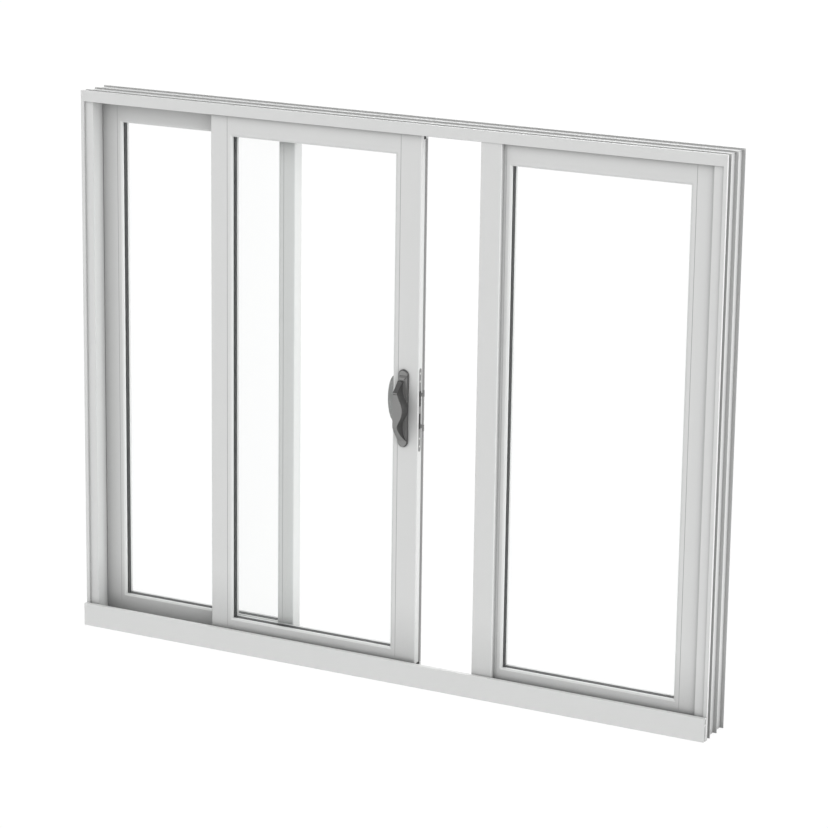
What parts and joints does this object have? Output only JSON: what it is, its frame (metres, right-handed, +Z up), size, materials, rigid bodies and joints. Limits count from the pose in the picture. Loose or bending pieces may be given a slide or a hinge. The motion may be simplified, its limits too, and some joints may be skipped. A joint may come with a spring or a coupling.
{
  "type": "sliding glass patio door",
  "caption": "White framed patio door with a sliding glazed panel between two fixed ones, with a hook lock and a lever handle.",
  "frame": {"origin": "underside of the sill, below the middle of the frame in width and depth", "axes": "+X to the right as seen from the room, +Y towards the outdoors, +Z up"},
  "size_m": [2.526, 0.1891, 2.019],
  "materials": {
    "frame_vinyl": "satin white vinyl",
    "panel_vinyl": "satin white vinyl",
    "bead_vinyl": "satin white vinyl",
    "pane_glass": "clear float glass",
    "spacer_bar": "matt dark grey",
    "track_metal": "mill finish",
    "handle_metal": "satin nickel paint",
    "lock_steel": "brushed",
    "roller_nylon": "matt",
    "seal_rubber": "matt grey"
  },
  "bodies": {
    "frame": {"left_jamb": "frame_vinyl", "right_jamb": "frame_vinyl", "head": "frame_vinyl", "sill": "frame_vinyl", "sill_riser": "frame_vinyl", "meeting_post": "frame_vinyl", "roller_track": "track_metal", "head_guide": "track_metal", "keeper_plate": "lock_steel", "left_panel_jamb_stile": "panel_vinyl", "left_panel_interlock_stile": "panel_vinyl", "left_panel_bottom_rail": "panel_vinyl", "left_panel_top_rail": "panel_vinyl", "left_panel_glazing_bead": "bead_vinyl", "left_panel_glass": "pane_glass", "left_panel_spacer": "spacer_bar", "right_panel_post_stile": "panel_vinyl", "right_panel_jamb_stile": "panel_vinyl", "right_panel_bottom_rail": "panel_vinyl", "right_panel_top_rail": "panel_vinyl", "right_panel_glazing_bead": "bead_vinyl", "right_panel_glass": "pane_glass", "right_panel_spacer": "spacer_bar"},
    "sliding_panel": {"sliding_panel_interlock_stile": "panel_vinyl", "sliding_panel_lock_stile": "panel_vinyl", "sliding_panel_bottom_rail": "panel_vinyl", "sliding_panel_top_rail": "panel_vinyl", "sliding_panel_glazing_bead": "bead_vinyl", "sliding_panel_glass": "pane_glass", "sliding_panel_spacer": "spacer_bar", "roller_carriages": "lock_steel", "roller_wheels": "roller_nylon", "edge_seal": "seal_rubber", "lock_faceplate": "lock_steel", "lock_case": "lock_steel", "interior_handle": "handle_metal", "exterior_pull": "handle_metal"},
    "latch_lever": {"latch_lever": "handle_metal"},
    "upper_hook": {"upper_hook": "lock_steel"},
    "lower_hook": {"lower_hook": "lock_steel"}
  },
  "joints": [
    {"name": "panel_slide", "type": "slide", "parent": "frame", "child": "sliding_panel", "axis": [1, 0, 0], "range_m": [-0.36, 0.226]},
    {"name": "latch_lever_turn", "type": "hinge", "parent": "sliding_panel", "child": "latch_lever", "pos_m": [0.0615, -0.0745, 1.104], "axis": [-1, 0, 0], "range_deg": [0, 36]},
    {"name": "upper_hook_turn", "type": "hinge", "parent": "sliding_panel", "child": "upper_hook", "pos_m": [0.103, -0.0485, 1.0635], "axis": [0, 1, 0], "range_deg": [0, 90]},
    {"name": "lower_hook_turn", "type": "hinge", "parent": "sliding_panel", "child": "lower_hook", "pos_m": [0.103, -0.0485, 0.9495], "axis": [0, -1, 0], "range_deg": [0, 90]}
  ],
  "couplings": [
    {"joint": "upper_hook_turn", "follows": "latch_lever_turn", "ratio": 2.5},
    {"joint": "lower_hook_turn", "follows": "latch_lever_turn", "ratio": 2.5}
  ]
}
